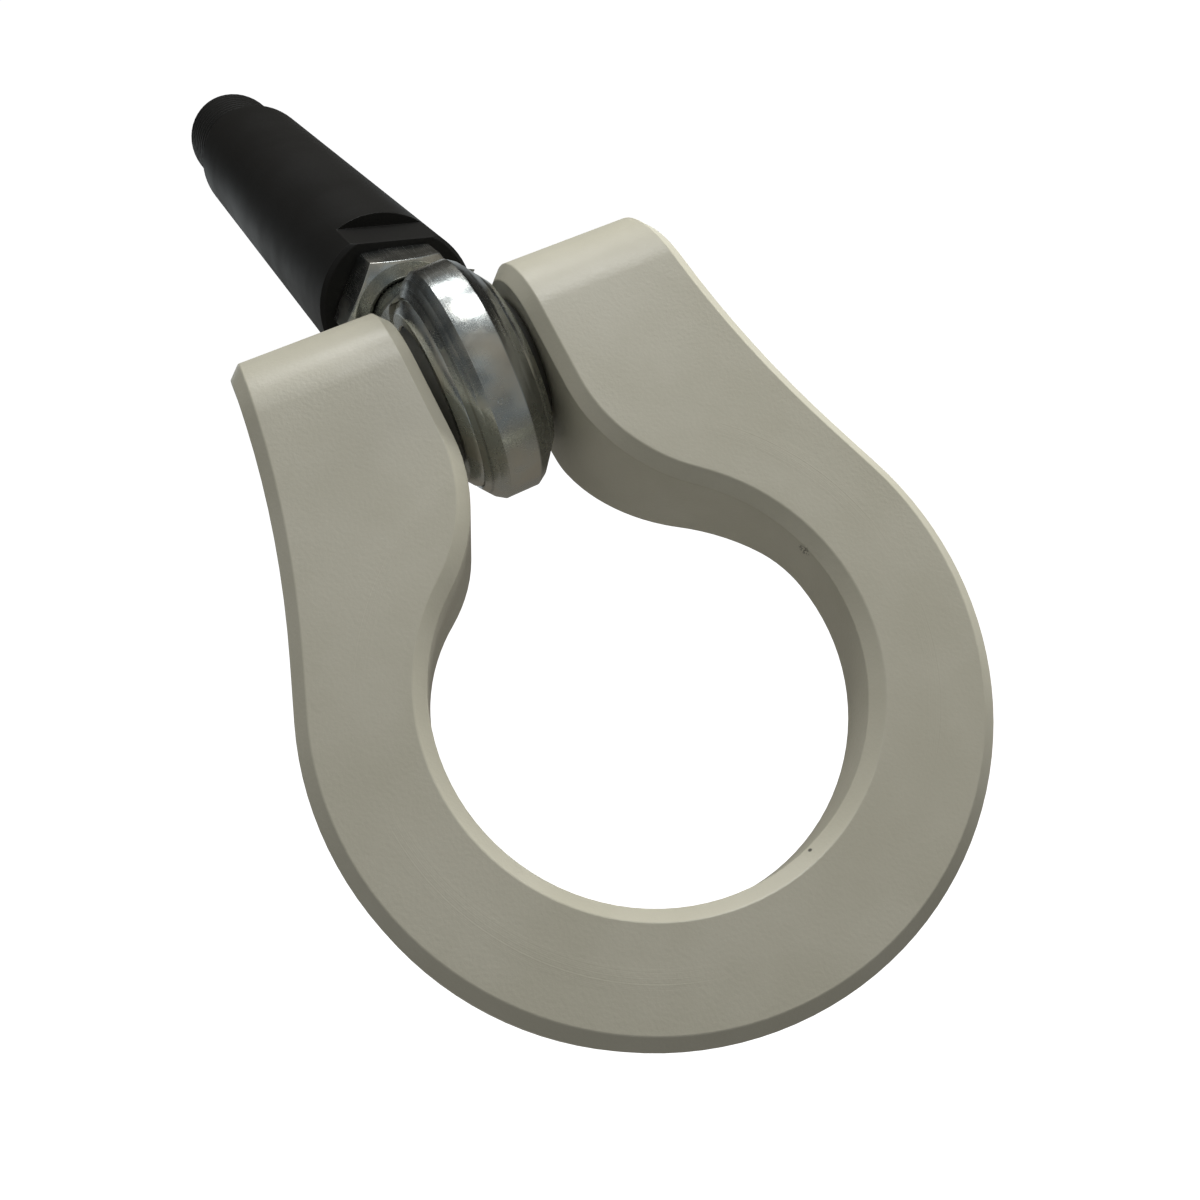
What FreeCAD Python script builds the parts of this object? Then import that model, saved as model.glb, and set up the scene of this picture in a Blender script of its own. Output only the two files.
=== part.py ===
import FreeCAD, Part
import math
import os
from FreeCAD import Placement, Rotation, Vector

# A tow eye: a ring with two arms that swings on a rod end at the front of a long round shaft.
# Millimetres and degrees. +Z is up and +Y points along the shaft, from the ring to the car.
# The origin is the centre of the shoulder where the threaded stud leaves the shaft.

# Ring: an open ring with two arms. Its front is flat. Its back swells out to the thick arms,
# whose ends are rounded about the bolt.
RING_OUTER_RADIUS = 42.3
RING_HOLE_RADIUS = 26.7
RING_THICKNESS = 12.9
RING_CHAMFER = 1.7
ARM_THICKNESS = 26.6
ARM_HALF_WIDTH = 30.1          # from the middle of the ring to the outer side of an arm's end
ARM_FLANK_RUN = 7.3            # length of the straight run between the round ring and the arm
ARM_FLANK_RADIUS = 149.0       # hollow curve that turns the flank upright
ARM_INNER_RADIUS = 24.5        # round corner between the gap and the hole
PIVOT_HEIGHT = 50.9            # from the centre of the ring's hole to the bolt
SWELL_START_HEIGHT = 8.5       # where the back starts to slope outward, above the hole's centre
SWELL_END_HEIGHT = 39.4        # and where the arms have their full thickness
SWELL_BLEND = 16.0             # radius at both ends of the sloping back
RING_DROOP_ANGLE = 39.7        # how far the ring hangs below the line of the shaft

# Bolt through both arms and the ball, with its end inside the left arm.
BOLT_RADIUS = 6.3
BOLT_RECESS = 1.0              # its end lies this far inside the narrowest part of the left arm
BOLT_GRIP = 14.0               # length of the threaded end inside the right arm
BOLT_HOLE_SPARE = 1.5          # depth of the tapped hole beyond the bolt
BOLT_CHAMFER = 0.8
KEY_SOCKET_FLATS = 6.0         # across the flats of the hexagon socket
KEY_SOCKET_DEPTH = 6.0
KEY_SOCKET_MOUTH = 0.3         # chamfer round the mouth of the socket

# Rod end: a head with a pressed-in race and a ball, on a threaded shank.
BALL_RADIUS = 11.9
BALL_WIDTH = 15.9
BALL_FACE_CHAMFER = 0.3
HEAD_RADIUS = 16.65
HEAD_BAND_WIDTH = 6.3          # width of the round outer band
HEAD_BAND_CHAMFER = 0.4
HEAD_WIDTH = 12.7
HEAD_FACE_RADIUS = 12.3        # outer edge of the flat ring round the ball
RACE_RADIUS = 13.7
RACE_SEAM = 0.3                # groove where the race meets the head
RACE_LIP = 0.35
HEAD_ROLL_ANGLE = -1.4         # the head sits a little crooked between the arms
NECK_ROOT = 6.0                # the neck starts inside the head, this far from the ball's centre
NECK_ROOT_RADIUS = 14.0
NECK_END = 25.0                # where its slope meets the shank
NECK_BLEND = 14.0              # radius between the slope and the shank
SHANK_RADIUS = 6.35
SHANK_END = 59.8               # from the ball's centre to the end of the shank
SHANK_CHAMFER = 1.0

# Jam nut.
NUT_FLATS = 19.05
NUT_THICKNESS = 7.9
NUT_FACE_RADIUS = 9.2          # where the corner chamfer starts on each face
NUT_CHAMFER_ANGLE = 30.0
NUT_MOUTH_CHAMFER = 0.7
NUT_TURN_ANGLE = 11.6          # how far its top flat is turned from level

# Shaft with two spanner flats, a tapped front end and a threaded stud.
SHAFT_RADIUS = 12.7
SHAFT_LENGTH = 118.3
SHAFT_CHAMFER = 0.6
FLATS_ACROSS = 21.0
FLATS_LENGTH = 9.5
FLATS_TURN_ANGLE = 14.5
SHAFT_HOLE_SPARE = 3.0         # depth of the tapped hole beyond the shank
SHAFT_HOLE_MOUTH = 0.9
DRILL_POINT_ANGLE = 118.0
STUD_RADIUS = 12.0
STUD_LENGTH = 31.0
STUD_CHAMFER = 1.5

# Distances and clearances that join the pieces.
BALL_TO_NUT = 29.0             # from the ball's centre to the front of the nut
ARM_SIDE_CLEARANCE = 0.1       # between each arm and the ball's flat face
BOLT_CLEARANCE = 0.05
BALL_CLEARANCE = 0.1
THREAD_CLEARANCE = 0.05
RACE_CLEARANCE = 0.02

ball_y = -(SHAFT_LENGTH + NUT_THICKNESS + BALL_TO_NUT)
nut_y = -(SHAFT_LENGTH + NUT_THICKNESS)
gap_half_width = BALL_WIDTH / 2 + ARM_SIDE_CLEARANCE
X_AXIS = Vector(1, 0, 0)
Y_AXIS = Vector(0, 1, 0)
Z_AXIS = Vector(0, 0, 1)
ORIGIN = Vector(0, 0, 0)


def turned(face, axis):
    """Turns a face round an axis through the origin, as a solid with its outside outward."""
    solid = face.revolve(ORIGIN, axis, 360)
    if solid.Volume < 0:
        solid.reverse()
    return solid


def lathe(profile, axis):
    """Turns a closed outline of (place along the axis, radius) pairs round X or Y."""
    outward = axis.cross(Z_AXIS)
    points = [axis * along + outward * radius for along, radius in profile]
    return turned(Part.Face(Part.makePolygon(points + points[:1])), axis)


def hexagon(across_flats, length, axis, up):
    """Makes a hexagonal bar from the origin along the axis, with one flat towards up."""
    side = axis.cross(up)
    corner_radius = across_flats / math.sqrt(3)
    points = []
    for corner in range(6):
        angle = math.radians(60 * corner)
        points.append(side * (corner_radius * math.cos(angle)) + up * (corner_radius * math.sin(angle)))
    face = Part.Face(Part.makePolygon(points + points[:1]))
    return face.extrude(axis * length)


def arc(start, middle, end):
    return Part.Arc(start, middle, end).toShape()


def line(start, end):
    return Part.LineSegment(start, end).toShape()


def placed(shape, offset, axis=X_AXIS, angle=0.0):
    """Turns a shape about an axis through the origin, then moves it."""
    moved = shape.copy()
    moved.Placement = Placement(offset, Rotation(axis, angle)).multiply(shape.Placement)
    return moved


def mirrored(point):
    return Vector(-point.x, point.y, point.z)


def ring_outline(y, top):
    """The open ring in the plane of one face, with its centre at the origin and the arms upward."""
    depth = Vector(0, y, 0)
    hollow_x = ARM_HALF_WIDTH + ARM_FLANK_RADIUS
    both_radii = RING_OUTER_RADIUS + ARM_FLANK_RADIUS
    hollow_z = math.sqrt(both_radii ** 2 + ARM_FLANK_RUN ** 2 - hollow_x ** 2)
    flank = math.atan2(hollow_z, hollow_x) - math.atan2(ARM_FLANK_RUN, both_radii)
    outward = Vector(math.cos(flank), 0, math.sin(flank))
    hollow = Vector(hollow_x, y, hollow_z)
    half_turn = Vector(math.cos(flank / 2), 0, math.sin(flank / 2))
    round_end = depth + outward * RING_OUTER_RADIUS
    flank_end = hollow - outward * ARM_FLANK_RADIUS
    flank_middle = hollow - half_turn * ARM_FLANK_RADIUS
    outer_x = hollow_x - math.sqrt(ARM_FLANK_RADIUS ** 2 - (top - hollow_z) ** 2)
    outer_tip = Vector(outer_x, y, top)
    inner_tip = Vector(gap_half_width, y, top)

    corner_x = gap_half_width + ARM_INNER_RADIUS
    corner_z = math.sqrt((RING_HOLE_RADIUS + ARM_INNER_RADIUS) ** 2 - corner_x ** 2)
    corner = Vector(corner_x, y, corner_z)
    to_hole = Vector(-corner_x, 0, -corner_z).normalize()
    to_arm = Vector(-1, 0, 0)
    corner_arm = corner + to_arm * ARM_INNER_RADIUS
    corner_hole = corner + to_hole * ARM_INNER_RADIUS
    corner_middle = corner + (to_hole + to_arm).normalize() * ARM_INNER_RADIUS

    edges = [
        line(inner_tip, outer_tip),
        arc(outer_tip, flank_middle, flank_end),
        line(flank_end, round_end),
        arc(round_end, Vector(0, y, -RING_OUTER_RADIUS), mirrored(round_end)),
        line(mirrored(round_end), mirrored(flank_end)),
        arc(mirrored(flank_end), mirrored(flank_middle), mirrored(outer_tip)),
        line(mirrored(outer_tip), mirrored(inner_tip)),
        line(mirrored(inner_tip), mirrored(corner_arm)),
        arc(mirrored(corner_arm), mirrored(corner_middle), mirrored(corner_hole)),
        arc(mirrored(corner_hole), Vector(0, y, -RING_HOLE_RADIUS), corner_hole),
        arc(corner_hole, corner_middle, corner_arm),
        line(corner_arm, inner_tip),
    ]
    return Part.Wire(edges)


def side_view():
    """The ring seen from its side, with the centre of its hole at the origin, as wide as the ring."""
    half = ARM_THICKNESS / 2
    ring_back = RING_THICKNESS - half
    low = -(RING_OUTER_RADIUS + ARM_THICKNESS)
    side = Vector(low, 0, 0)
    front_low = side + Vector(0, -half, low)
    front_high = side + Vector(0, -half, PIVOT_HEIGHT)
    end = side + Vector(0, 0, PIVOT_HEIGHT + half)
    back_high = side + Vector(0, half, PIVOT_HEIGHT)
    swell_end = side + Vector(0, half, SWELL_END_HEIGHT)
    swell_start = side + Vector(0, ring_back, SWELL_START_HEIGHT)
    back_low = side + Vector(0, ring_back, low)
    edges = [
        line(front_low, front_high),
        arc(front_high, end, back_high),
        line(back_high, swell_end),
        line(swell_end, swell_start),
        line(swell_start, back_low),
        line(back_low, front_low),
    ]
    block = Part.Face(Part.Wire(edges)).extrude(Vector(-2 * low, 0, 0))
    bends = []
    for height in (SWELL_START_HEIGHT, SWELL_END_HEIGHT):
        bends += [edge for edge in block.Edges
                  if max(abs(corner.Z - height) for corner in edge.Vertexes) < 0.01]
    return block.makeFillet(SWELL_BLEND, bends)


def is_outline_edge(edge):
    """True for the edges that bound the front and the back, round the ends of the arms too."""
    if not isinstance(edge.Curve, (Part.Line, Part.LineSegment)):
        return True
    direction = (edge.Vertexes[1].Point - edge.Vertexes[0].Point).normalize()
    return abs(direction.z) > 0.5


def make_ring():
    half = ARM_THICKNESS / 2
    above_tips = PIVOT_HEIGHT + ARM_THICKNESS
    plate = Part.Face(ring_outline(-half, above_tips)).extrude(Vector(0, ARM_THICKNESS, 0))
    plate = plate.common(side_view())
    plate = plate.makeChamfer(RING_CHAMFER, [edge for edge in plate.Edges if is_outline_edge(edge)])
    hole_radius = BOLT_RADIUS + BOLT_CLEARANCE
    hole_start = -(RING_OUTER_RADIUS + RING_CHAMFER)
    tapped_end = gap_half_width + BOLT_GRIP + BOLT_HOLE_SPARE
    point = hole_radius / math.tan(math.radians(DRILL_POINT_ANGLE / 2))
    drill = lathe([
        (hole_start, 0),
        (hole_start, hole_radius),
        (tapped_end, hole_radius),
        (tapped_end + point, 0),
    ], X_AXIS)
    plate = placed(plate, Vector(0, 0, -PIVOT_HEIGHT))
    return plate.cut(drill).Solids[0]


def make_bolt():
    start = -(ARM_HALF_WIDTH - BOLT_RECESS)
    end = gap_half_width + BOLT_GRIP
    body = lathe([
        (start, 0),
        (start, BOLT_RADIUS - BOLT_CHAMFER),
        (start + BOLT_CHAMFER, BOLT_RADIUS),
        (end - BOLT_CHAMFER, BOLT_RADIUS),
        (end, BOLT_RADIUS - BOLT_CHAMFER),
        (end, 0),
    ], X_AXIS)
    socket = hexagon(KEY_SOCKET_FLATS, KEY_SOCKET_DEPTH, X_AXIS, Z_AXIS)
    mouth_radius = KEY_SOCKET_FLATS / math.sqrt(3) + KEY_SOCKET_MOUTH
    mouth = Part.makeCone(mouth_radius, 0, mouth_radius, ORIGIN, X_AXIS)
    floor = Part.makeCone(KEY_SOCKET_FLATS / 2, 0, KEY_SOCKET_FLATS / 4, X_AXIS * KEY_SOCKET_DEPTH, X_AXIS)
    key = socket.fuse([mouth, floor])
    return body.cut(placed(key, Vector(start, 0, 0)))


def cone_place(radius):
    """How far from the middle of the head its sloping side has this radius."""
    band = HEAD_BAND_WIDTH / 2
    top = HEAD_RADIUS - HEAD_BAND_CHAMFER
    share = (top - radius) / (top - HEAD_FACE_RADIUS)
    return band + share * (HEAD_WIDTH / 2 - band)


def both_sides(profile):
    """Adds the other half of an outline that is the same on both sides of the head."""
    return profile + [(-along, radius) for along, radius in reversed(profile)]


def make_stem():
    """The shank and the round neck that flows into it, with the head's flat sides on the neck."""
    shank = lathe([
        (NECK_ROOT, 0),
        (NECK_ROOT, SHANK_RADIUS),
        (SHANK_END - SHANK_CHAMFER, SHANK_RADIUS),
        (SHANK_END, SHANK_RADIUS - SHANK_CHAMFER),
        (SHANK_END, 0),
    ], Y_AXIS)
    root = Y_AXIS * NECK_ROOT
    slope = Part.makeCone(NECK_ROOT_RADIUS, SHANK_RADIUS, NECK_END - NECK_ROOT, root, Y_AXIS)
    stem = slope.fuse(shank).removeSplitter()
    meeting = [edge for edge in stem.Edges
               if isinstance(edge.Curve, Part.Circle) and abs(edge.Curve.Center.y - NECK_END) < 0.01]
    stem = stem.makeFillet(NECK_BLEND, meeting)
    for side in (-1, 1):
        corner = Vector(HEAD_WIDTH / 2, 0, -HEAD_RADIUS)
        block = Part.makeBox(HEAD_WIDTH, NECK_END, 2 * HEAD_RADIUS, corner)
        stem = stem.cut(placed(block, ORIGIN, Y_AXIS, 90 - 90 * side))
    return stem


def make_rod_end_body():
    seat = RACE_RADIUS + RACE_CLEARANCE
    seam = seat + RACE_SEAM
    head = lathe(both_sides([
        (HEAD_BAND_WIDTH / 2 - HEAD_BAND_CHAMFER, HEAD_RADIUS),
        (HEAD_BAND_WIDTH / 2, HEAD_RADIUS - HEAD_BAND_CHAMFER),
        (cone_place(seam), seam),
        (cone_place(seam) - RACE_SEAM, seat),
        (cone_place(seam) - RACE_SEAM, 0),
    ]), X_AXIS)
    bore = Part.makeCylinder(seat, 2 * HEAD_WIDTH, X_AXIS * -HEAD_WIDTH, X_AXIS)
    return head.fuse(make_stem()).removeSplitter().cut(bore)


def make_race():
    hollow_radius = BALL_RADIUS + BALL_CLEARANCE
    face = HEAD_WIDTH / 2
    mouth_radius = math.sqrt(hollow_radius ** 2 - face ** 2)
    seam = RACE_RADIUS - RACE_SEAM
    ring = lathe(both_sides([
        (cone_place(RACE_RADIUS) - RACE_SEAM, RACE_RADIUS),
        (cone_place(seam), seam),
        (face, HEAD_FACE_RADIUS),
        (face, mouth_radius + RACE_LIP),
        (face - RACE_LIP, mouth_radius),
    ]), X_AXIS)
    return ring.cut(Part.makeSphere(hollow_radius, ORIGIN, X_AXIS))


def make_ball():
    half = BALL_WIDTH / 2
    hole = BOLT_RADIUS + BOLT_CLEARANCE
    slab = Part.makeCylinder(2 * BALL_RADIUS, BALL_WIDTH, X_AXIS * -half, X_AXIS)
    bore = Part.makeCylinder(hole, BALL_WIDTH, X_AXIS * -half, X_AXIS)
    ball = Part.makeSphere(BALL_RADIUS, ORIGIN, X_AXIS).common(slab).cut(bore)
    rims = [edge for edge in ball.Edges
            if isinstance(edge.Curve, Part.Circle) and abs(edge.Curve.Axis.x) > 0.9]
    return ball.makeChamfer(BALL_FACE_CHAMFER, rims)


def make_nut():
    corner = NUT_FLATS / math.sqrt(3)
    slope = (corner - NUT_FACE_RADIUS) * math.tan(math.radians(NUT_CHAMFER_ANGLE))
    hole = SHANK_RADIUS + THREAD_CLEARANCE
    washer = lathe([
        (0, hole + NUT_MOUTH_CHAMFER),
        (0, NUT_FACE_RADIUS),
        (slope, corner),
        (NUT_THICKNESS - slope, corner),
        (NUT_THICKNESS, NUT_FACE_RADIUS),
        (NUT_THICKNESS, hole + NUT_MOUTH_CHAMFER),
        (NUT_THICKNESS - NUT_MOUTH_CHAMFER, hole),
        (NUT_MOUTH_CHAMFER, hole),
    ], Y_AXIS)
    return washer.common(hexagon(NUT_FLATS, NUT_THICKNESS, Y_AXIS, Z_AXIS))


def make_shaft():
    hole = SHANK_RADIUS + THREAD_CLEARANCE
    shank_inside = SHANK_END - BALL_TO_NUT - NUT_THICKNESS
    hole_depth = shank_inside + SHAFT_HOLE_SPARE
    point = hole / math.tan(math.radians(DRILL_POINT_ANGLE / 2))
    front = -SHAFT_LENGTH
    shaft = lathe([
        (front, hole + SHAFT_HOLE_MOUTH),
        (front, SHAFT_RADIUS - SHAFT_CHAMFER),
        (front + SHAFT_CHAMFER, SHAFT_RADIUS),
        (-SHAFT_CHAMFER, SHAFT_RADIUS),
        (0, SHAFT_RADIUS - SHAFT_CHAMFER),
        (0, STUD_RADIUS),
        (STUD_LENGTH - STUD_CHAMFER, STUD_RADIUS),
        (STUD_LENGTH, STUD_RADIUS - STUD_CHAMFER),
        (STUD_LENGTH, 0),
        (front + hole_depth + point, 0),
        (front + hole_depth, hole),
        (front + SHAFT_HOLE_MOUTH, hole),
    ], Y_AXIS)
    depth = 2 * SHAFT_RADIUS
    flat = Part.makeBox(depth, FLATS_LENGTH, depth, Vector(-SHAFT_RADIUS, front, FLATS_ACROSS / 2))
    for turn in (FLATS_TURN_ANGLE, FLATS_TURN_ANGLE + 180):
        shaft = shaft.cut(placed(flat, ORIGIN, Y_AXIS, turn))
    return shaft


def main():
    os.makedirs("parts", exist_ok=True)
    pivot = Vector(0, ball_y, 0)
    hang = RING_DROOP_ANGLE - 90
    pieces = {
        "tow_ring": placed(make_ring(), pivot, X_AXIS, hang),
        "pivot_bolt": placed(make_bolt(), pivot, X_AXIS, hang),
        "swivel_ball": placed(make_ball(), pivot),
        "race_insert": placed(make_race(), pivot, Y_AXIS, HEAD_ROLL_ANGLE),
        "rod_end_body": placed(make_rod_end_body(), pivot, Y_AXIS, HEAD_ROLL_ANGLE),
        "jam_nut": placed(make_nut(), Vector(0, nut_y, 0), Y_AXIS, NUT_TURN_ANGLE),
        "shaft": make_shaft(),
    }
    for name, shape in pieces.items():
        print(name, len(shape.Solids), shape.isValid(), round(shape.Volume, 1))
        shape.exportStep("parts/" + name + ".step")


main()
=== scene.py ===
import math

import bmesh
import bpy
from mathutils import Matrix, Vector


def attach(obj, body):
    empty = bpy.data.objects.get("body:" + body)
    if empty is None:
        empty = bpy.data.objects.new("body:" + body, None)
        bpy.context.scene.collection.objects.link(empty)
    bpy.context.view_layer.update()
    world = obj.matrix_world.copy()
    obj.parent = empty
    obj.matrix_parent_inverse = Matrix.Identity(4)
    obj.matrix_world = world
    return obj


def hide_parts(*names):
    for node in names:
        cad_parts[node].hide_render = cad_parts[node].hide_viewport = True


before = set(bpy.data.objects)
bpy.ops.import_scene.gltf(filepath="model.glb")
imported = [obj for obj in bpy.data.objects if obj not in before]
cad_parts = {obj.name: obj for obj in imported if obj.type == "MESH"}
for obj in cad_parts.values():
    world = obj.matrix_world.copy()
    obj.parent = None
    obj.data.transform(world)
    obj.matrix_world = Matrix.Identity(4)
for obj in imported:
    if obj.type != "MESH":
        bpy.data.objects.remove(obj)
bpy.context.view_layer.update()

MM = 0.001

# Places and sizes, in metres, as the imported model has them.
BALL_CENTRE = Vector((0, -155.2, 0)) * MM
HEAD_ROLL = math.radians(-1.4)
RING_CENTRE = Vector((0.0, -194.36, -32.51)) * MM
RING_HANG = math.radians(39.7 - 90)

# Threads. The shank's are measured from the ball's centre and begin just past the neck.
SHANK_RADIUS = 6.35 * MM
SHANK_THREAD_DEPTH = 0.7 * MM
SHANK_PITCH = 1.27 * MM
SHANK_THREAD_START = 28.3 * MM
SHANK_THREAD_END = 58.9 * MM
STUD_RADIUS = 12.0 * MM
STUD_THREAD_DEPTH = 1.35 * MM
STUD_PITCH = 2.5 * MM
STUD_THREAD_START = 2.2 * MM
STUD_THREAD_END = 29.6 * MM
THREAD_FOOT = 0.5                    # half widths of the ridge as shares of the pitch
THREAD_CREST = 0.08
THREAD_SUNK = 0.15                   # how deep the ridge's foot is sunk, as a share of its depth
THREAD_RUN_OUT = 1.2                 # the higher, the sooner the ridge has its full height
STUD_REACH = 0.1 * MM                # how far past its own surface a corner still counts as the stud's

# The head's round band and the chamfers beside it.
BAND_RADIUS = 16.65 * MM
BAND_LOW_RADIUS = 16.25 * MM         # the inner edge of the chamfers
BAND_END = 12.5 * MM                 # the neck begins here, measured from the ball's centre
BAND_HALF_WIDTH = 2.7 * MM           # corners nearer to the middle than this stay
BAND_WIDENING = 0.45 * MM
WIDENING_INWARD = 0.78               # shares of the widening for a chamfer's inner edge
WIDENING_ASIDE = 0.63
CORNER_REACH = 0.5 * MM
NEAR = 0.02 * MM
CROWN_REACH = 3.4 * MM               # how far from its middle the band looks crowned
CROWN_DEPTH = 0.3 * MM

# Edges: which corners are rounded, and how widely.
SHARP_CORNER = math.radians(24)
FLAT_ANGLE = math.radians(0.3)
JOIN_DISTANCE = 0.002 * MM
LARGE_FACE_WEIGHT = 80               # how much large faces keep their own shading
RING_ROUNDING = 0.95 * MM
BAND_ROUNDING = 0.6 * MM
SHAFT_ROUNDING = 0.25 * MM
NUT_ROUNDING = 0.18 * MM
RACE_ROUNDING = 0.08 * MM

# Marks of use and of the lathe.
TURNED_RADIUS = 34.6 * MM            # where faint circles show on the front of the ring
SPECK_PLACE = (0.00752, -0.22204, -0.0399)
SCUFF_PLACE = (0.02571, -0.19579, -0.0196)
PIT_PLACE = (-0.0009, -0.17149, 0.00346)

# Depths of the finishes.
COAT_GRAIN_DEPTH = 0.04 * MM
COAT_CIRCLE_DEPTH = 0.06 * MM
ZINC_DENT_DEPTH = 0.04 * MM
TOOL_LINE_DEPTH = 0.01 * MM
HAIR_DEPTH = 0.003 * MM
PIT_DEPTH = 0.08 * MM
BLACK_GRAIN_DEPTH = 0.03 * MM

# Colours, as red, green and blue.
CREAM = (0.570, 0.548, 0.436)
CREAM_LIGHT = (0.612, 0.589, 0.478)
SPECKS_BROWN = (0.30, 0.27, 0.20)
SPECK_DARK = (0.10, 0.09, 0.07)
SCUFF_BROWN = (0.16, 0.15, 0.12)
ZINC = (0.49, 0.52, 0.515)
ZINC_WARM = (0.56, 0.55, 0.50)
ZINC_GROOVE = (0.36, 0.37, 0.36)
BALL_GREY = (0.27, 0.275, 0.28)
BALL_DARK = (0.20, 0.20, 0.195)
BLACK_DEEP = (0.007, 0.007, 0.0064)
BLACK_LIGHT = (0.012, 0.0117, 0.0106)
ROOM_COOL = (0.92, 0.98, 1.0)
ROOM_WARM = (1.0, 0.93, 0.80)

# Studio.
LOOK_AT = Vector((0.0, -0.16, -0.01))
FLOOR_SIZE = 6.0
FLOOR_HEIGHT = -0.35
FLOOR_GLOW = 0.9
FLOOR_GREY = 0.58
ROOM_RADIUS = 0.8
TABLE_HEIGHT = -0.12
WORLD_LIGHT = 0.24
CAMERA_PLACE = (-0.035616, -0.319886, 0.075146)
CAMERA_RIGHT = (0.89131, -0.39814, -0.2169)
CAMERA_FORWARD = (0.21618, 0.79372, -0.56857)
SENSOR_WIDTH = 36.0
PHOTO_FOCAL = 1309.2                 # focal length in pixels of the photo
PHOTO_WIDTH = 1200


# Shader node groups, shared by the materials.

def new_group(name, inputs, outputs):
    """An empty shader group with (name, socket type, value) inputs and (name, socket type) outputs."""
    group = bpy.data.node_groups.new(name, "ShaderNodeTree")
    for label, kind, value in inputs:
        socket = group.interface.new_socket(label, in_out="INPUT", socket_type=kind)
        if value is not None:
            socket.default_value = value
    for label, kind in outputs:
        group.interface.new_socket(label, in_out="OUTPUT", socket_type=kind)
    ends = group.nodes.new("NodeGroupInput"), group.nodes.new("NodeGroupOutput")
    return group, ends[0].outputs, ends[1].inputs


def math_node(tree, operation, first, second=None):
    """One step of reckoning with numbers or sockets."""
    node = tree.nodes.new("ShaderNodeMath")
    node.operation = operation
    for socket, value in zip(node.inputs, (first, second)):
        if isinstance(value, (int, float)):
            socket.default_value = value
        elif value is not None:
            tree.links.new(value, socket)
    return node.outputs[0]


def noise_node(tree, place, scale, detail=2.0, roughness=0.5, dimensions="3D"):
    """Soft random values, in space or along one coordinate."""
    node = tree.nodes.new("ShaderNodeTexNoise")
    node.noise_dimensions = dimensions
    node.inputs["Detail"].default_value = detail
    node.inputs["Roughness"].default_value = roughness
    tree.links.new(place, node.inputs["W" if dimensions == "1D" else "Vector"])
    if isinstance(scale, (int, float)):
        node.inputs["Scale"].default_value = scale
    else:
        tree.links.new(scale, node.inputs["Scale"])
    return node.outputs[0]


def range_node(tree, value, low, high, to_low=0.0, to_high=1.0):
    """A smooth step from one range of values to another."""
    node = tree.nodes.new("ShaderNodeMapRange")
    node.interpolation_type = "SMOOTHSTEP"
    tree.links.new(value, node.inputs["Value"])
    for label, number in (("From Min", low), ("From Max", high), ("To Min", to_low), ("To Max", to_high)):
        if isinstance(number, (int, float)):
            node.inputs[label].default_value = number
        else:
            tree.links.new(number, node.inputs[label])
    return node.outputs[0]


def grain_group():
    """Rounded bumps of one size with a finer grain on them, and a slow cloudiness."""
    group, given, out = new_group(
        "grain",
        [("Place", "NodeSocketVector", None), ("Cell", "NodeSocketFloat", 0.0005),
         ("Cloud Cell", "NodeSocketFloat", 0.02)],
        [("Height", "NodeSocketFloat"), ("Cloud", "NodeSocketFloat")])
    cells = math_node(group, "DIVIDE", 1.0, given["Cell"])
    peel = noise_node(group, given["Place"], cells, 1.0, 0.4)
    fine = noise_node(group, given["Place"], math_node(group, "MULTIPLY", cells, 3.7), 2.0, 0.6)
    height = math_node(group, "ADD", peel, math_node(group, "MULTIPLY", fine, 0.25))
    group.links.new(height, out["Height"])
    clouds = math_node(group, "DIVIDE", 1.0, given["Cloud Cell"])
    group.links.new(noise_node(group, given["Place"], clouds, 3.0, 0.55), out["Cloud"])
    return group


def tool_mark_group():
    """Fine lines left by a turning tool, spaced along one coordinate, with a few deeper ones."""
    group, given, out = new_group(
        "tool_marks",
        [("Along", "NodeSocketFloat", 0.0), ("Spacing", "NodeSocketFloat", 0.0002)],
        [("Height", "NodeSocketFloat"), ("Deep", "NodeSocketFloat")])
    rate = math_node(group, "DIVIDE", 1.0, given["Spacing"])
    group.links.new(noise_node(group, given["Along"], rate, 2.0, 0.7, "1D"), out["Height"])
    slow = noise_node(group, given["Along"], math_node(group, "MULTIPLY", rate, 0.21), 0.0, 0.5, "1D")
    group.links.new(range_node(group, slow, 0.62, 0.72), out["Deep"])
    return group


def speck_group():
    """A few small round specks, scattered in space."""
    group, given, out = new_group(
        "specks",
        [("Place", "NodeSocketVector", None), ("Spacing", "NodeSocketFloat", 0.01),
         ("Radius", "NodeSocketFloat", 0.0002)],
        [("Mask", "NodeSocketFloat")])
    cells = group.nodes.new("ShaderNodeTexVoronoi")
    group.links.new(given["Place"], cells.inputs["Vector"])
    group.links.new(math_node(group, "DIVIDE", 1.0, given["Spacing"]), cells.inputs["Scale"])
    share = math_node(group, "DIVIDE", given["Radius"], given["Spacing"])
    ragged = noise_node(group, given["Place"], 6000.0, 1.0)
    reach = math_node(group, "MULTIPLY", share, math_node(group, "ADD", ragged, 0.5))
    core = math_node(group, "MULTIPLY", reach, 0.6)
    inside = range_node(group, cells.outputs["Distance"], core, reach, 1.0, 0.0)
    group.links.new(inside, out["Mask"])
    return group


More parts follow.
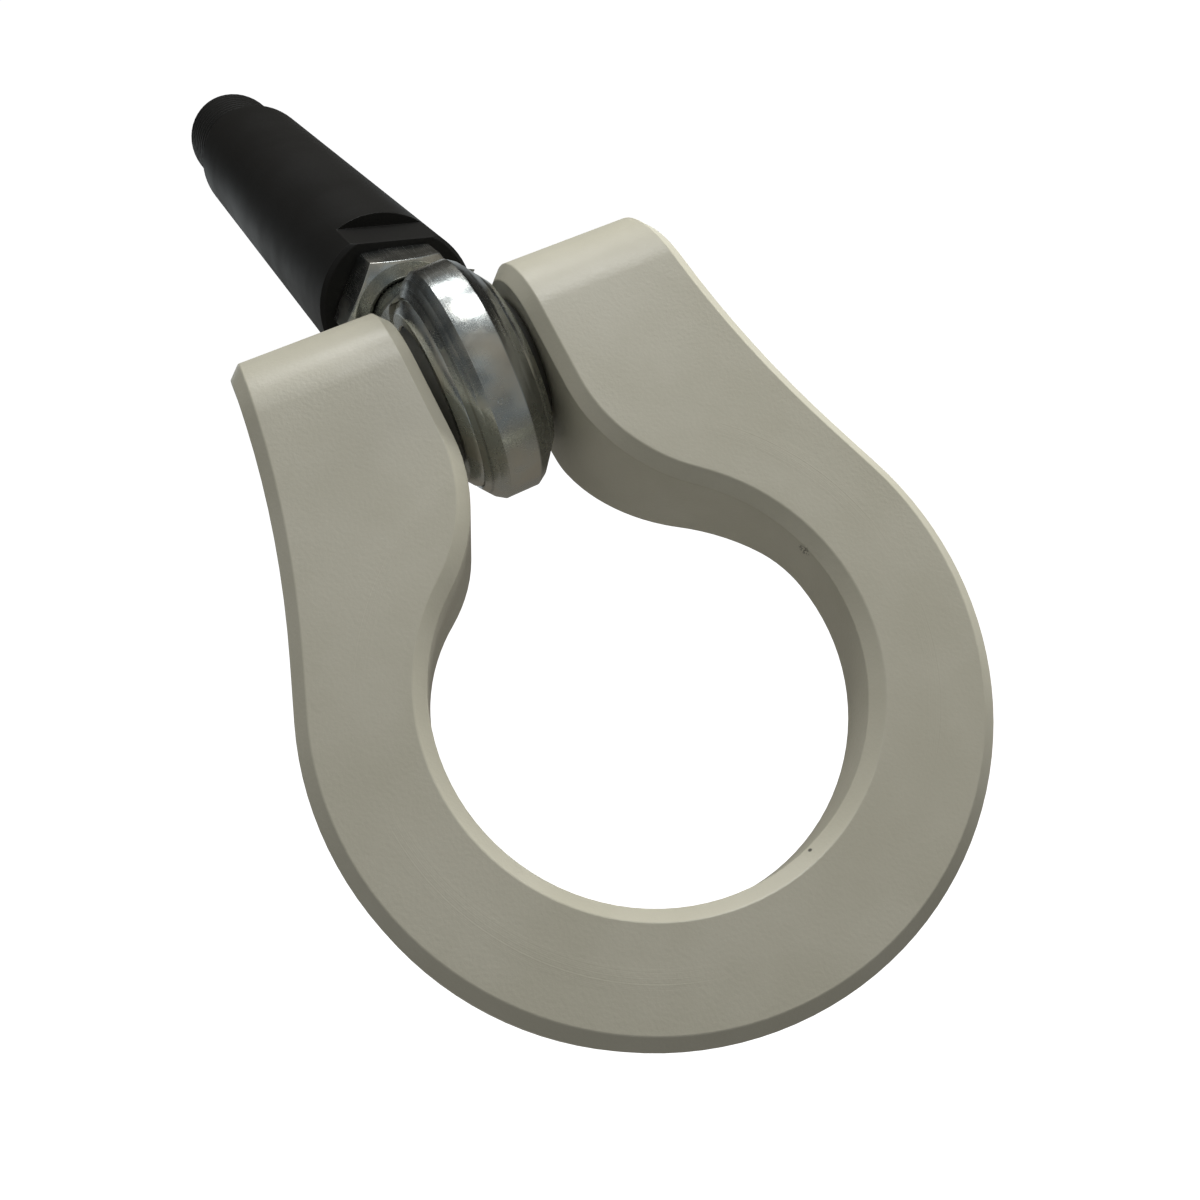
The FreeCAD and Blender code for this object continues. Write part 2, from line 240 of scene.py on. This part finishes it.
def scratch_group():
    """Short hair scratches in all directions, as thin bands of a stretched and bent noise."""
    group, given, out = new_group(
        "scratches",
        [("Place", "NodeSocketVector", None), ("Cell", "NodeSocketFloat", 0.002)],
        [("Mask", "NodeSocketFloat")])
    scale = math_node(group, "DIVIDE", 1.0, given["Cell"])
    total = None
    for turn in (20, 75, 140):
        mapping = group.nodes.new("ShaderNodeMapping")
        mapping.inputs["Rotation"].default_value = [math.radians(a) for a in (turn, turn * 2, turn * 0.7)]
        mapping.inputs["Scale"].default_value = (1.0, 0.12, 1.0)
        group.links.new(given["Place"], mapping.inputs["Vector"])
        value = noise_node(group, mapping.outputs[0], scale, 1.0, 0.5)
        near = math_node(group, "ABSOLUTE", math_node(group, "SUBTRACT", value, 0.5))
        band = range_node(group, near, 0.0, 0.012, 1.0, 0.0)
        total = band if total is None else math_node(group, "MAXIMUM", total, band)
    group.links.new(total, out["Mask"])
    return group


def spot_group():
    """One round spot about the centre of the given coordinates, whole and broken up."""
    group, given, out = new_group(
        "spot",
        [("Place", "NodeSocketVector", None), ("Radius", "NodeSocketFloat", 0.0005)],
        [("Disk", "NodeSocketFloat"), ("Broken", "NodeSocketFloat")])
    reach = group.nodes.new("ShaderNodeVectorMath")
    reach.operation = "LENGTH"
    group.links.new(given["Place"], reach.inputs[0])
    inner = math_node(group, "MULTIPLY", given["Radius"], 0.5)
    disk = range_node(group, reach.outputs["Value"], inner, given["Radius"], 1.0, 0.0)
    group.links.new(disk, out["Disk"])
    bits = range_node(group, noise_node(group, given["Place"], 3500.0, 2.0), 0.50, 0.56)
    group.links.new(math_node(group, "MULTIPLY", disk, bits), out["Broken"])
    return group


GRAIN = grain_group()
TOOL_MARKS = tool_mark_group()
SPECKS = speck_group()
SCRATCHES = scratch_group()
SPOT = spot_group()


# Materials.

class Maker:
    """Small helper that builds one material round its own Principled BSDF."""

    def __init__(self, name, metallic, roughness):
        self.material = bpy.data.materials.new(name)
        self.material.use_nodes = True
        self.tree = self.material.node_tree
        self.bsdf = self.tree.nodes["Principled BSDF"]
        self.bsdf.inputs["Metallic"].default_value = metallic
        self.bsdf.inputs["Roughness"].default_value = roughness
        self.place = self.tree.nodes.new("ShaderNodeTexCoord").outputs["Object"]

    def link(self, source, socket):
        self.tree.links.new(source, self.bsdf.inputs[socket])

    def centred(self, centre, turn=(0, 0, 0)):
        """Object coordinates seen from a centre, with the axes turned."""
        mapping = self.tree.nodes.new("ShaderNodeMapping")
        mapping.vector_type = "TEXTURE"
        mapping.inputs["Location"].default_value = centre
        mapping.inputs["Rotation"].default_value = turn
        self.tree.links.new(self.place, mapping.inputs["Vector"])
        return mapping.outputs[0]

    def group(self, group, **values):
        node = self.tree.nodes.new("ShaderNodeGroup")
        node.node_tree = group
        for label, value in values.items():
            socket = node.inputs[label.replace("_", " ")]
            if isinstance(value, (int, float)):
                socket.default_value = value
            else:
                self.tree.links.new(value, socket)
        return node.outputs

    def colour(self, stops):
        """Mixes colours one over another: (colour, mask) pairs, the first with no mask."""
        result = None
        for colour, mask in stops:
            if result is None:
                result = self.tree.nodes.new("ShaderNodeRGB").outputs[0]
                result.default_value = (*colour, 1)
                continue
            mix = self.tree.nodes.new("ShaderNodeMix")
            mix.data_type = "RGBA"
            self.tree.links.new(mask, mix.inputs["Factor"])
            self.tree.links.new(result, mix.inputs["A"])
            mix.inputs["B"].default_value = (*colour, 1)
            result = mix.outputs["Result"]
        self.link(result, "Base Color")

    def bump(self, layers):
        """Lays bumps one on another: (height, depth in metres, strength)."""
        normal = None
        for height, depth, strength in layers:
            node = self.tree.nodes.new("ShaderNodeBump")
            node.inputs["Distance"].default_value = depth
            node.inputs["Strength"].default_value = strength
            self.tree.links.new(height, node.inputs["Height"])
            if normal is not None:
                self.tree.links.new(normal, node.inputs["Normal"])
            normal = node.outputs[0]
        self.link(normal, "Normal")


def split_node(tree, place):
    """The three coordinates of a place."""
    split = tree.nodes.new("ShaderNodeSeparateXYZ")
    tree.links.new(place, split.inputs[0])
    return split.outputs


def radius_about(tree, place, axis):
    """Distance from an axis through the centre of the given coordinates."""
    parts = split_node(tree, place)
    squares = [math_node(tree, "MULTIPLY", parts[label], parts[label]) for label in "XYZ" if label != axis]
    return math_node(tree, "SQRT", math_node(tree, "ADD", squares[0], squares[1]))


def powder_coat():
    """Cream coat with a fine grain, a few specks, and faint turned circles showing through it."""
    make = Maker("powder_coat", 0.0, 0.34)
    grain = make.group(GRAIN, Place=make.place, Cell=0.00046, Cloud_Cell=0.012)
    specks = make.group(SPECKS, Place=make.place, Spacing=0.014, Radius=0.00012)
    speck = make.group(SPOT, Place=make.centred(SPECK_PLACE), Radius=0.00032)
    scuff = make.group(SPOT, Place=make.centred(SCUFF_PLACE), Radius=0.0011)
    patchy = range_node(make.tree, grain["Cloud"], 0.3, 0.75)
    radius = radius_about(make.tree, make.centred(RING_CENTRE, (RING_HANG, 0, 0)), "Y")
    circles = make.group(TOOL_MARKS, Along=radius, Spacing=0.0006)
    apart = math_node(make.tree, "ABSOLUTE", math_node(make.tree, "SUBTRACT", radius, TURNED_RADIUS))
    band = range_node(make.tree, apart, 0.0004, 0.0022, 1.0, 0.0)
    some = range_node(make.tree, noise_node(make.tree, make.place, 30.0, 1.0), 0.42, 0.58)
    shown = math_node(make.tree, "MULTIPLY", band, some)
    turned = math_node(make.tree, "MULTIPLY", shown, circles["Height"])
    make.colour([
        (CREAM, None),
        (CREAM_LIGHT, patchy),
        (SPECKS_BROWN, specks["Mask"]),
        (SPECK_DARK, speck["Disk"]),
        (SCUFF_BROWN, scuff["Broken"]),
    ])
    make.link(range_node(make.tree, grain["Height"], 0.3, 0.95, 0.29, 0.40), "Roughness")
    make.bump([(grain["Height"], COAT_GRAIN_DEPTH, 0.5), (turned, COAT_CIRCLE_DEPTH, 0.5)])
    return make.material


def zinc_plate(name, axis, centre, turn, roughness, spacing, marks, dents, crown=0.0):
    """Bright zinc over turned steel, with the tool's rings round one axis and a crown along it."""
    make = Maker(name, 1.0, roughness)
    place = make.centred(centre, turn)
    radius = radius_about(make.tree, place, axis)
    along = split_node(make.tree, place)[axis]
    lines = make.group(TOOL_MARKS, Along=math_node(make.tree, "ADD", radius, along), Spacing=spacing)
    grain = make.group(GRAIN, Place=place, Cell=0.002, Cloud_Cell=0.006)
    hair = make.group(SCRATCHES, Place=place, Cell=0.0016)
    pit = make.group(SPOT, Place=make.centred(PIT_PLACE), Radius=0.00045)
    cloudy = range_node(make.tree, grain["Cloud"], 0.35, 0.7)
    make.colour([
        (ZINC, None),
        (ZINC_WARM, cloudy),
        (ZINC_GROOVE, lines["Deep"]),
    ])
    worn = math_node(make.tree, "MULTIPLY", hair["Mask"], 0.06)
    base = range_node(make.tree, grain["Cloud"], 0.3, 0.75, roughness * 0.75, roughness * 1.35)
    make.link(math_node(make.tree, "ADD", base, worn), "Roughness")
    square = math_node(make.tree, "MULTIPLY", along, along)
    share = math_node(make.tree, "DIVIDE", square, CROWN_REACH ** 2)
    fall = math_node(make.tree, "MINIMUM", share, 1.0)
    make.bump([
        (math_node(make.tree, "SUBTRACT", 1.0, fall), crown, 1.0),
        (grain["Height"], ZINC_DENT_DEPTH, dents),
        (lines["Height"], TOOL_LINE_DEPTH, marks),
        (hair["Mask"], HAIR_DEPTH, 0.15),
        (math_node(make.tree, "SUBTRACT", 1.0, pit["Disk"]), PIT_DEPTH, 0.6),
    ])
    return make.material


def ball_steel():
    """Grey ground steel with fine lines round the bolt's axis."""
    make = Maker("ground_ball_steel", 1.0, 0.4)
    place = make.centred(BALL_CENTRE)
    radius = radius_about(make.tree, place, "X")
    along = split_node(make.tree, place)["X"]
    lines = make.group(TOOL_MARKS, Along=math_node(make.tree, "ADD", radius, along), Spacing=0.00016)
    grain = make.group(GRAIN, Place=place, Cell=0.0004, Cloud_Cell=0.004)
    make.colour([(BALL_GREY, None), (BALL_DARK, grain["Cloud"])])
    make.link(range_node(make.tree, grain["Cloud"], 0.3, 0.7, 0.36, 0.5), "Roughness")
    make.bump([(lines["Height"], TOOL_LINE_DEPTH, 0.4)])
    return make.material


def black_finish():
    """Satin black on turned steel, with fine lines along the shaft."""
    make = Maker("black_satin_steel", 0.0, 0.5)
    make.bsdf.inputs["Specular IOR Level"].default_value = 0.24
    along = split_node(make.tree, make.place)["Y"]
    lines = make.group(TOOL_MARKS, Along=along, Spacing=0.0004)
    grain = make.group(GRAIN, Place=make.place, Cell=0.0004, Cloud_Cell=0.02)
    make.colour([(BLACK_DEEP, None), (BLACK_LIGHT, grain["Cloud"])])
    make.link(range_node(make.tree, grain["Cloud"], 0.3, 0.7, 0.46, 0.58), "Roughness")
    make.bump([(grain["Height"], BLACK_GRAIN_DEPTH, 0.25), (lines["Height"], TOOL_LINE_DEPTH, 0.35)])
    return make.material


COAT = powder_coat()
HEAD_ZINC = zinc_plate("zinc_head", "X", BALL_CENTRE, (0, HEAD_ROLL, 0), roughness=0.26,
                       spacing=0.0003, marks=0.5, dents=1.0, crown=CROWN_DEPTH)
NUT_ZINC = zinc_plate("zinc_nut", "Y", (0, 0, 0), (0, 0, 0), roughness=0.25,
                      spacing=0.0006, marks=0.08, dents=0.05)
BALL_STEEL = ball_steel()
BLACK = black_finish()


# Threads, made with Geometry Nodes.

def thread_tree():
    """A ridge wound round the Y axis: a helix swept with a sharp profile that fades at both ends."""
    tree = bpy.data.node_groups.new("thread_ridge", "GeometryNodeTree")
    given = {}
    for label, kind, value in (
            ("Root Radius", "NodeSocketFloat", 0.01), ("Depth", "NodeSocketFloat", 0.001),
            ("Pitch", "NodeSocketFloat", 0.002), ("Start", "NodeSocketFloat", 0.0),
            ("Turns", "NodeSocketFloat", 8.0), ("Steps A Turn", "NodeSocketInt", 48),
            ("Finish", "NodeSocketMaterial", None)):
        socket = tree.interface.new_socket(label, in_out="INPUT", socket_type=kind)
        given[label] = socket.identifier
        if value is not None:
            socket.default_value = value
    tree.interface.new_socket("Geometry", in_out="OUTPUT", socket_type="NodeSocketGeometry")
    inputs = tree.nodes.new("NodeGroupInput").outputs

    def add(kind, **links):
        node = tree.nodes.new(kind)
        for label, value in links.items():
            socket = node.inputs[label.replace("_", " ")]
            if isinstance(value, bpy.types.NodeSocket):
                tree.links.new(value, socket)
            else:
                socket.default_value = value
        return node

    def calc(operation, first, second):
        node = tree.nodes.new("ShaderNodeMath")
        node.operation = operation
        for socket, value in zip(node.inputs, (first, second)):
            if isinstance(value, (int, float)):
                socket.default_value = value
            else:
                tree.links.new(value, socket)
        return node.outputs[0]

    def corner(x, y):
        return add("ShaderNodeCombineXYZ", X=x, Y=y).outputs[0]

    length = calc("MULTIPLY", inputs["Pitch"], inputs["Turns"])
    helix = add("GeometryNodeCurveSpiral", Resolution=inputs["Steps A Turn"], Rotations=inputs["Turns"],
                Start_Radius=inputs["Root Radius"], End_Radius=inputs["Root Radius"], Height=length)
    upright = add("GeometryNodeSetCurveNormal", Curve=helix.outputs[0])
    upright.mode = "Z_UP"
    along = tree.nodes.new("GeometryNodeSplineParameter").outputs["Factor"]
    from_end = calc("MINIMUM", along, calc("SUBTRACT", 1.0, along))
    turns_from_end = calc("MULTIPLY", from_end, inputs["Turns"])
    fade = calc("MINIMUM", calc("MULTIPLY", turns_from_end, THREAD_RUN_OUT), 1.0)
    thin = add("GeometryNodeSetCurveRadius", Curve=upright.outputs[0], Radius=calc("MAXIMUM", fade, 0.05))
    foot = calc("MULTIPLY", inputs["Pitch"], THREAD_FOOT)
    crest = calc("MULTIPLY", inputs["Pitch"], THREAD_CREST)
    sunk = calc("MULTIPLY", inputs["Depth"], -THREAD_SUNK)
    profile = tree.nodes.new("GeometryNodeCurvePrimitiveQuadrilateral")
    profile.mode = "POINTS"
    corners = [corner(sunk, foot), corner(inputs["Depth"], crest),
               corner(inputs["Depth"], calc("MULTIPLY", crest, -1.0)),
               corner(sunk, calc("MULTIPLY", foot, -1.0))]
    for number, place in enumerate(corners, 1):
        tree.links.new(place, profile.inputs["Point " + str(number)])
    swept = add("GeometryNodeCurveToMesh", Curve=thin.outputs[0], Profile_Curve=profile.outputs[0],
                Fill_Caps=True)
    shift = add("ShaderNodeCombineXYZ", Y=inputs["Start"])
    laid = add("GeometryNodeTransform", Geometry=swept.outputs[0], Translation=shift.outputs[0])
    laid.inputs["Rotation"].default_value = (math.radians(-90), 0, 0)
    real = add("GeometryNodeRealizeInstances", Geometry=laid.outputs[0])
    dressed = add("GeometryNodeSetMaterial", Geometry=real.outputs[0], Material=inputs["Finish"])
    out = tree.nodes.new("NodeGroupOutput")
    tree.links.new(dressed.outputs[0], out.inputs[0])
    return tree, given


THREAD, THREAD_INPUTS = thread_tree()


def plain_mesh(obj):
    """The object's mesh as its modifiers leave it."""
    bpy.context.view_layer.update()
    shown = obj.evaluated_get(bpy.context.evaluated_depsgraph_get())
    return bpy.data.meshes.new_from_object(shown)


def thread_mesh(root_radius, depth, pitch, start, end, material):
    """The ridge of one thread as a plain mesh, in its place on the part."""
    carrier = bpy.data.objects.new("thread_carrier", bpy.data.meshes.new("thread_carrier"))
    bpy.context.scene.collection.objects.link(carrier)
    modifier = carrier.modifiers.new("thread", "NODES")
    modifier.node_group = THREAD
    values = {"Root Radius": root_radius, "Depth": depth, "Pitch": pitch, "Start": start,
              "Turns": (end - start) / pitch, "Finish": material}
    for label, value in values.items():
        modifier[THREAD_INPUTS[label]] = value
    mesh = plain_mesh(carrier)
    bpy.data.objects.remove(carrier)
    return mesh


# Pieces that take over from the CAD nodes: the same solids with softened edges and real threads.

def merged_copy(node):
    """The CAD node's mesh with its loose triangles joined."""
    bm = bmesh.new()
    bm.from_mesh(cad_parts[node].data)
    bmesh.ops.remove_doubles(bm, verts=bm.verts, dist=JOIN_DISTANCE)
    return bm


def weigh_edges(bm, share, is_wide):
    """Marks the corners to be rounded: the wide ones fully, the others with a share of the width."""
    layer = bm.edges.layers.float.new("bevel_weight_edge")
    for edge in bm.edges:
        if len(edge.link_faces) == 2 and edge.calc_face_angle(0.0) > SHARP_CORNER:
            edge[layer] = 1.0 if is_wide is None or is_wide(edge) else share


def rounded_piece(name, bm, width, material, extra=None, segments=3, share=1.0, is_wide=None):
    """Turns the joined mesh into a piece with its edges rounded to the given width."""
    bmesh.ops.dissolve_limit(bm, angle_limit=FLAT_ANGLE, verts=bm.verts, edges=bm.edges)
    weigh_edges(bm, share, is_wide)
    mesh = bpy.data.meshes.new(name)
    bm.to_mesh(mesh)
    bm.free()
    for label in ("custom_normal", "sharp_face", "sharp_edge"):
        if label in mesh.attributes:
            mesh.attributes.remove(mesh.attributes[label])
    mesh.shade_smooth()
    obj = bpy.data.objects.new(name, mesh)
    bpy.context.scene.collection.objects.link(obj)
    bevel = obj.modifiers.new("rounded_edges", "BEVEL")
    bevel.width = width
    bevel.segments = segments
    bevel.limit_method = "WEIGHT"
    bevel.miter_outer = "MITER_ARC"
    bevel.use_clamp_overlap = True
    weighted = obj.modifiers.new("flat_faces", "WEIGHTED_NORMAL")
    weighted.keep_sharp = True
    weighted.weight = LARGE_FACE_WEIGHT
    finished = plain_mesh(obj)
    obj.modifiers.clear()
    if extra is not None:
        bm = bmesh.new()
        bm.from_mesh(finished)
        bm.from_mesh(extra)
        bm.to_mesh(finished)
        bm.free()
    obj.data = finished
    finished.materials.clear()
    finished.materials.append(material)
    return obj


def stand_in(obj, node, body):
    """Lets the piece take the place of a CAD node, on the node's own body."""
    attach(obj, body)
    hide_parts(node)


def ring_piece():
    """The ring with its two arms."""
    ring = rounded_piece("ring_plate", merged_copy("tow_ring"), RING_ROUNDING, COAT, segments=5)
    stand_in(ring, "tow_ring", "ring")


def place_on_head(point):
    """A point seen from the head's centre with the head's roll undone, and its distance from the axis."""
    local = Matrix.Rotation(-HEAD_ROLL, 3, "Y") @ (point - BALL_CENTRE)
    return local, math.hypot(local.y, local.z)


def widen_band_corners(bm):
    """Moves both sides of the chamfers beside the head's band apart, to leave room for a soft corner."""
    turn = Matrix.Rotation(HEAD_ROLL, 3, "Y")
    for vertex in bm.verts:
        local, radius = place_on_head(vertex.co)
        side = math.copysign(1.0, local.x)
        if local.y > BAND_END or radius < BAND_LOW_RADIUS - NEAR or abs(local.x) < BAND_HALF_WIDTH:
            continue
        if radius > BAND_RADIUS - NEAR:
            local.x -= side * BAND_WIDENING
        else:
            shrink = 1 - BAND_WIDENING * WIDENING_INWARD / radius
            aside = side * BAND_WIDENING * WIDENING_ASIDE
            local = Vector((local.x + aside, local.y * shrink, local.z * shrink))
        vertex.co = BALL_CENTRE + turn @ local


def on_band_corner(edge):
    """True for the corners beside the head's band, which get the full rounding."""
    for vertex in edge.verts:
        local, radius = place_on_head(vertex.co)
        if local.y > BAND_END or radius < BAND_LOW_RADIUS - CORNER_REACH:
            return False
    return True


def rod_end_piece():
    """Head, neck and threaded shank: the shank is turned down to its root and gets a real ridge."""
    root = SHANK_RADIUS - SHANK_THREAD_DEPTH
    start = BALL_CENTRE.y + SHANK_THREAD_START
    bm = merged_copy("rod_end_body")
    widen_band_corners(bm)
    for vertex in bm.verts:
        if vertex.co.y > start:
            outward = Vector((vertex.co.x, 0, vertex.co.z))
            if outward.length > root:
                vertex.co -= outward * (1 - root / outward.length)
    ridge = thread_mesh(root, SHANK_THREAD_DEPTH, SHANK_PITCH, start,
                        BALL_CENTRE.y + SHANK_THREAD_END, HEAD_ZINC)
    body = rounded_piece("rod_end", bm, BAND_ROUNDING, HEAD_ZINC, ridge, 4, 0.2, on_band_corner)
    stand_in(body, "rod_end_body", "shaft_assembly")


def shaft_piece():
    """The shaft, with its stud turned down to the thread's root and a real ridge on it."""
    root = STUD_RADIUS - STUD_THREAD_DEPTH
    bm = merged_copy("shaft")
    for vertex in bm.verts:
        outward = Vector((vertex.co.x, 0, vertex.co.z))
        if vertex.co.y > -STUD_REACH and root < outward.length < STUD_RADIUS + STUD_REACH:
            vertex.co -= outward * (1 - root / outward.length)
    ridge = thread_mesh(root, STUD_THREAD_DEPTH, STUD_PITCH, STUD_THREAD_START, STUD_THREAD_END, BLACK)
    shaft = rounded_piece("shaft_threaded", bm, SHAFT_ROUNDING, BLACK, ridge)
    stand_in(shaft, "shaft", "shaft_assembly")


def nut_piece():
    """The hexagon nut between shaft and neck."""
    nut = rounded_piece("jam_nut_rounded", merged_copy("jam_nut"), NUT_ROUNDING, NUT_ZINC)
    stand_in(nut, "jam_nut", "shaft_assembly")


def race_piece():
    """The race pressed into the head."""
    race = rounded_piece("race_rounded", merged_copy("race_insert"), RACE_ROUNDING, HEAD_ZINC)
    stand_in(race, "race_insert", "shaft_assembly")


ring_piece()
rod_end_piece()
shaft_piece()
nut_piece()
race_piece()
for node, material in (("swivel_ball", BALL_STEEL), ("pivot_bolt", BLACK)):
    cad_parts[node].material_slots[0].material = material


# Studio: floor, soft lamps, a room that only shows in reflections, camera.

def seen_rays(tree):
    """1 for what the camera sees, directly, in a reflection or through glass, and 0 for other light."""
    rays = tree.nodes.new("ShaderNodeLightPath").outputs
    mirrored = math_node(tree, "MAXIMUM", rays["Is Glossy Ray"], rays["Is Transmission Ray"])
    return math_node(tree, "MAXIMUM", rays["Is Camera Ray"], mirrored)


def floor_material():
    """A pale floor that looks white to the camera and sends little light back to the object."""
    material = bpy.data.materials.new("pale_floor")
    material.use_nodes = True
    tree = material.node_tree
    tree.nodes.clear()
    glow = tree.nodes.new("ShaderNodeEmission")
    tree.links.new(math_node(tree, "MULTIPLY", seen_rays(tree), FLOOR_GLOW), glow.inputs["Strength"])
    pale = tree.nodes.new("ShaderNodeBsdfDiffuse")
    pale.inputs["Color"].default_value = (FLOOR_GREY, FLOOR_GREY, FLOOR_GREY, 1)
    both = tree.nodes.new("ShaderNodeAddShader")
    tree.links.new(glow.outputs[0], both.inputs[0])
    tree.links.new(pale.outputs[0], both.inputs[1])
    out = tree.nodes.new("ShaderNodeOutputMaterial")
    tree.links.new(both.outputs[0], out.inputs["Surface"])
    return material


def add_floor():
    """One wide flat floor, some way below the part."""
    mesh = bpy.data.meshes.new("floor")
    signs = ((-1, -1), (1, -1), (1, 1), (-1, 1))
    corners = [(x * FLOOR_SIZE, y * FLOOR_SIZE, FLOOR_HEIGHT) for x, y in signs]
    mesh.from_pydata(corners, [], [(0, 1, 2, 3)])
    floor = bpy.data.objects.new("floor", mesh)
    bpy.context.scene.collection.objects.link(floor)
    mesh.materials.append(floor_material())


def add_lamp(name, direction, distance, size, power, soft=False):
    """A round lamp that faces the object; a soft one doesn't show in reflections."""
    lamp = bpy.data.lights.new(name, "AREA")
    lamp.shape = "DISK"
    lamp.size = size
    lamp.energy = power
    obj = bpy.data.objects.new(name, lamp)
    toward = Vector(direction).normalized()
    obj.location = LOOK_AT + toward * distance
    obj.rotation_euler = toward.to_track_quat("Z", "Y").to_euler()
    obj.visible_glossy = not soft
    bpy.context.scene.collection.objects.link(obj)


def add_room():
    """A dim studio room round the object, seen only in reflections: a dome on a flat table top."""
    bm = bmesh.new()
    bmesh.ops.create_icosphere(bm, subdivisions=5, radius=ROOM_RADIUS)
    for vertex in bm.verts:
        vertex.co.z = max(vertex.co.z, TABLE_HEIGHT)
        vertex.co += LOOK_AT
    mesh = bpy.data.meshes.new("grey_room")
    bm.to_mesh(mesh)
    bm.free()
    room = bpy.data.objects.new("grey_room", mesh)
    bpy.context.scene.collection.objects.link(room)
    mesh.materials.append(room_material())
    room.visible_camera = False
    room.visible_diffuse = False
    room.visible_shadow = False
    room.visible_transmission = False


def room_material():
    """Grey walls, lighter overhead and towards the camera, in dim and warm patches, on a bright table."""
    material = bpy.data.materials.new("grey_room")
    material.use_nodes = True
    tree = material.node_tree
    tree.nodes.clear()
    place = tree.nodes.new("ShaderNodeTexCoord").outputs["Object"]
    parts = split_node(tree, place)
    overhead = range_node(tree, parts["Z"], 0.2, 0.75, 0.0, 0.22)
    ahead = range_node(tree, parts["Y"], 0.1, -0.6, 0.05, 0.27)
    patches = range_node(tree, noise_node(tree, place, 3.2, 1.0, 0.5), 0.40, 0.58, 0.35, 1.15)
    behind = range_node(tree, parts["Y"], 0.0, 0.5, 0.12, 0.65)
    below = range_node(tree, parts["Z"], 0.02, -0.10, 0.0, 1.0)
    table = math_node(tree, "MULTIPLY", behind, below)
    walls = math_node(tree, "MULTIPLY", math_node(tree, "ADD", overhead, ahead), patches)
    strength = math_node(tree, "ADD", walls, table)
    warm = range_node(tree, noise_node(tree, place, 2.1, 0.0), 0.45, 0.60)
    tint = tree.nodes.new("ShaderNodeMix")
    tint.data_type = "RGBA"
    tree.links.new(warm, tint.inputs["Factor"])
    tint.inputs["A"].default_value = (*ROOM_COOL, 1)
    tint.inputs["B"].default_value = (*ROOM_WARM, 1)
    glow = tree.nodes.new("ShaderNodeEmission")
    tree.links.new(tint.outputs["Result"], glow.inputs["Color"])
    tree.links.new(strength, glow.inputs["Strength"])
    out = tree.nodes.new("ShaderNodeOutputMaterial")
    tree.links.new(glow.outputs[0], out.inputs["Surface"])
    return material


def add_world():
    """White to the camera, and a dim even light on the object."""
    world = bpy.data.worlds.new("studio")
    world.use_nodes = True
    tree = world.node_tree
    back = tree.nodes["Background"]
    more = math_node(tree, "MULTIPLY", seen_rays(tree), 1.0 - WORLD_LIGHT)
    tree.links.new(math_node(tree, "ADD", WORLD_LIGHT, more), back.inputs["Strength"])
    back.inputs["Color"].default_value = (1, 1, 1, 1)
    bpy.context.scene.world = world


def add_camera():
    """The camera of the photo, as fitted to the outline of the part."""
    right = Vector(CAMERA_RIGHT).normalized()
    forward = Vector(CAMERA_FORWARD).normalized()
    up = right.cross(forward).normalized()
    right = forward.cross(up)
    camera = bpy.data.cameras.new("camera")
    camera.sensor_width = SENSOR_WIDTH
    camera.lens = PHOTO_FOCAL / PHOTO_WIDTH * SENSOR_WIDTH
    camera.clip_start = 0.01
    obj = bpy.data.objects.new("camera", camera)
    turn = Matrix((right, up, -forward)).transposed().to_4x4()
    obj.matrix_world = Matrix.Translation(CAMERA_PLACE) @ turn
    bpy.context.scene.collection.objects.link(obj)
    bpy.context.scene.camera = obj


add_floor()
add_room()
add_world()
add_camera()
add_lamp("key", (0.14, 0.48, 0.87), distance=0.62, size=0.19, power=0.62)
add_lamp("overhead", (0.24, 0.03, 0.97), distance=0.5, size=0.2, power=0.66)
add_lamp("behind", (0.25, 0.55, 0.80), distance=0.45, size=0.25, power=0.22, soft=True)
add_lamp("side", (0.9031, 0.2454, 0.3524), distance=0.288, size=0.12, power=0.8, soft=True)
bpy.context.scene.view_settings.view_transform = "Standard"
